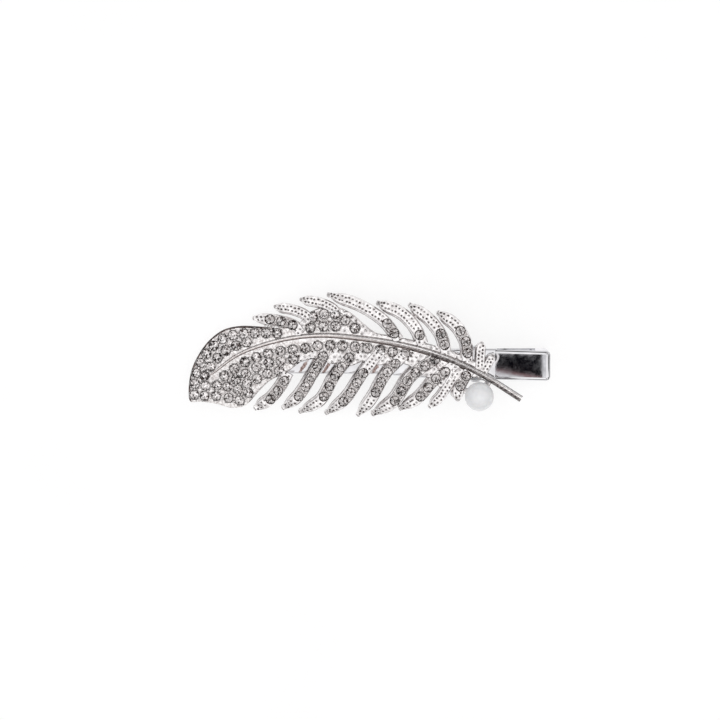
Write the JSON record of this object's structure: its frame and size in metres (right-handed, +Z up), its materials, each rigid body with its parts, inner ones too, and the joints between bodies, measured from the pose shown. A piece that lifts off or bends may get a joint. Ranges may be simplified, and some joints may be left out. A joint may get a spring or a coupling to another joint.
{
  "type": "rhinestone hair clip",
  "caption": "Plated cast feather set with clear glass stones and a pearl, fixed on a sprung alligator hair clip.",
  "frame": {"origin": "middle of the part's bounding box in plan, on the surface that the clip lies on", "axes": "+X along the feather from its tip to the finger levers, +Z up out of the feather's face; the clip lies on its lower arm, jaw tip and lower lever end touching z = 0"},
  "size_m": [0.0752, 0.0262, 0.0125],
  "materials": {
    "clip_plating": "bright nickel plating on folded steel, mirror smooth",
    "cast_plating": "bright rhodium plating on a zinc casting, slightly wavy, with dimpled barbs",
    "spring_steel": "drawn spring wire, satin",
    "solder": "dull soft solder",
    "crystal": "faceted clear glass with a silvered back",
    "imitation_pearl": "satin pearl lustre"
  },
  "bodies": {
    "lower_arm": {"bottom_arm": "clip_plating", "torsion_spring": "spring_steel"},
    "upper_arm": {"top_arm": "clip_plating", "hinge_pin": "clip_plating", "feather_casting": "cast_plating", "pearl": "imitation_pearl", "pearl_cup": "cast_plating", "solder_pad_front": "solder", "solder_pad_middle": "solder", "solder_pad_rear": "solder", "stones_vane_edge": "crystal", "stones_vane_upper": "crystal", "stones_quill_side": "crystal", "stones_vane_middle": "crystal", "stones_vane_lower": "crystal", "stones_vane_bottom": "crystal", "stones_cluster_inner": "crystal", "stones_cluster_outer": "crystal", "stones_barb_l1": "crystal", "stones_barb_l2": "crystal", "stones_barb_l3": "crystal", "stones_barb_l4": "crystal", "stones_barb_l5": "crystal", "stones_barb_l6": "crystal", "stones_barb_l7": "crystal", "stones_barb_l9": "crystal", "stones_barb_u1": "crystal", "stones_barb_u4": "crystal", "stones_barb_u5": "crystal", "stones_barb_u6": "crystal", "stones_barb_u7": "crystal"}
  },
  "joints": [
    {"name": "jaw_hinge", "type": "hinge", "parent": "lower_arm", "child": "upper_arm", "pos_m": [0.02226, -0.00191, 0.00368], "axis": [0, 1, 0], "range_deg": [0, 26], "stiffness_Nm_per_rad": 0.12, "springref_deg": -51.57, "deforming": ["torsion_spring"]}
  ]
}
